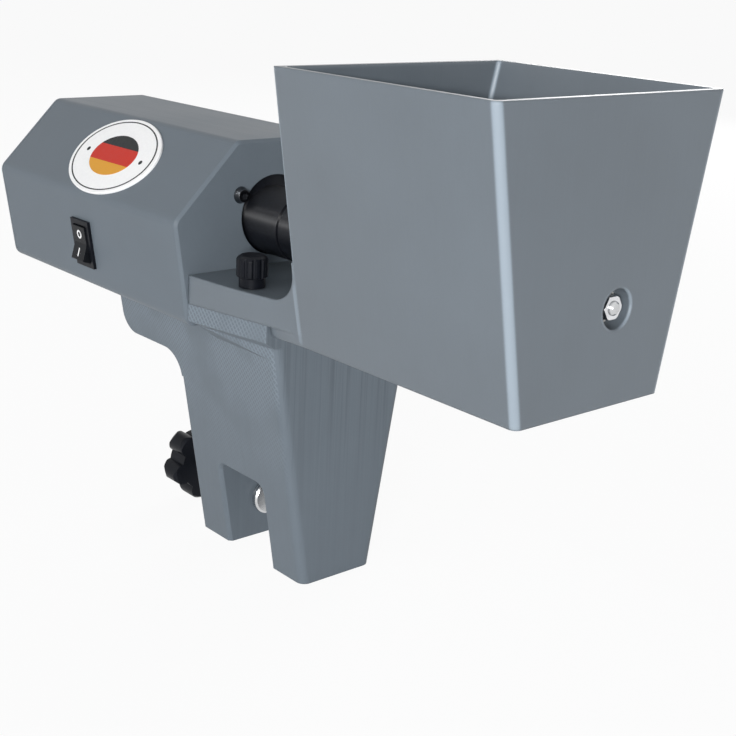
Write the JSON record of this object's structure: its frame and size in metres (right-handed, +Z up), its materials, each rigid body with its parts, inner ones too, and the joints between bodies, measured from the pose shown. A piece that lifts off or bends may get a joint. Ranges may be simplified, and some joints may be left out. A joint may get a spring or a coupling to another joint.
{
  "type": "spaetzle maker",
  "caption": "Electric spaetzle maker that clamps on a pot rim, with a tapered hopper, rotor, perforated die plate and gear motor.",
  "frame": {"origin": "centre of the outline seen from above, at the height of the underside of the feet", "axes": "+X from the motor to the hopper, +Z up, the switch faces -Y"},
  "size_m": [0.3268, 0.112, 0.219],
  "materials": {
    "slate_plastic": "matte, fine layer lines",
    "black_plastic": "satin moulded",
    "black_gloss": "glossy",
    "pale_plastic": "satin moulded",
    "bright_steel": "polished zinc plate",
    "brushed_steel": "brushed",
    "brass": "knurled"
  },
  "bodies": {
    "base": {"frame_leg": "slate_plastic", "clamp_insert": "brass", "motor_cover": "slate_plastic", "end_plate": "slate_plastic", "end_screws": "bright_steel", "cover_screws": "bright_steel", "motor_can": "brushed_steel", "gearbox": "black_gloss", "motor_screws": "bright_steel", "bezel": "black_plastic", "switch_body": "black_plastic", "switch_terminals": "brushed_steel", "inlet_socket": "black_plastic", "inlet_nut": "bright_steel"},
    "drive": {"output_shaft": "brushed_steel", "drive_coupling": "black_plastic", "drive_set_screw": "brushed_steel"},
    "hopper_unit": {"hopper": "slate_plastic", "bush_drive": "pale_plastic", "bush_end": "pale_plastic", "die_plate": "brushed_steel", "die_screws": "bright_steel", "thumb_insert": "brass"},
    "rotor_unit": {"rotor": "pale_plastic", "rotor_shaft": "brushed_steel", "driven_coupling": "black_plastic", "driven_set_screw": "brushed_steel", "end_washer": "bright_steel", "end_nut": "bright_steel"},
    "thumb_lift": {"thumb_stud": "brushed_steel"},
    "thumb_turn": {"thumb_knob": "black_plastic"},
    "switch_rocker": {"rocker": "black_gloss"},
    "clamp_slide": {"clamp_pad": "bright_steel"},
    "clamp_turn": {"clamp_screw": "brushed_steel", "star_knob": "black_plastic"}
  },
  "joints": [
    {"name": "drive_spin", "type": "hinge", "parent": "base", "child": "drive", "pos_m": [0.03, 0.0087, 0.148], "axis": [1, 0, 0], "continuous": true},
    {"name": "hopper_slide", "type": "slide", "parent": "base", "child": "hopper_unit", "axis": [1, 0, 0], "range_m": [0, 0.06]},
    {"name": "rotor_spin", "type": "hinge", "parent": "hopper_unit", "child": "rotor_unit", "pos_m": [0.1, 0.0087, 0.148], "axis": [1, 0, 0], "continuous": true},
    {"name": "thumb_rise", "type": "slide", "parent": "hopper_unit", "child": "thumb_lift", "axis": [0, 0, 1], "range_m": [0, 0.008]},
    {"name": "thumb_spin", "type": "hinge", "parent": "thumb_lift", "child": "thumb_turn", "pos_m": [0.0195, -0.0374, 0.13], "axis": [0, 0, 1], "range_deg": [0, 3600]},
    {"name": "rocker_tilt", "type": "hinge", "parent": "base", "child": "switch_rocker", "pos_m": [-0.0884, -0.05153, 0.1284], "axis": [1, 0, 0], "range_deg": [0, 22]},
    {"name": "clamp_travel", "type": "slide", "parent": "base", "child": "clamp_slide", "axis": [1, 0, 0], "range_m": [0, 0.025]},
    {"name": "clamp_spin", "type": "hinge", "parent": "clamp_slide", "child": "clamp_turn", "pos_m": [-0.04, 0, 0.0189], "axis": [1, 0, 0], "range_deg": [0, 7200]}
  ],
  "couplings": [
    {"joint": "rotor_spin", "follows": "drive_spin", "ratio": 1},
    {"joint": "thumb_spin", "follows": "thumb_rise", "rad_per_m": 7854},
    {"joint": "clamp_spin", "follows": "clamp_travel", "rad_per_m": 5026.5}
  ]
}
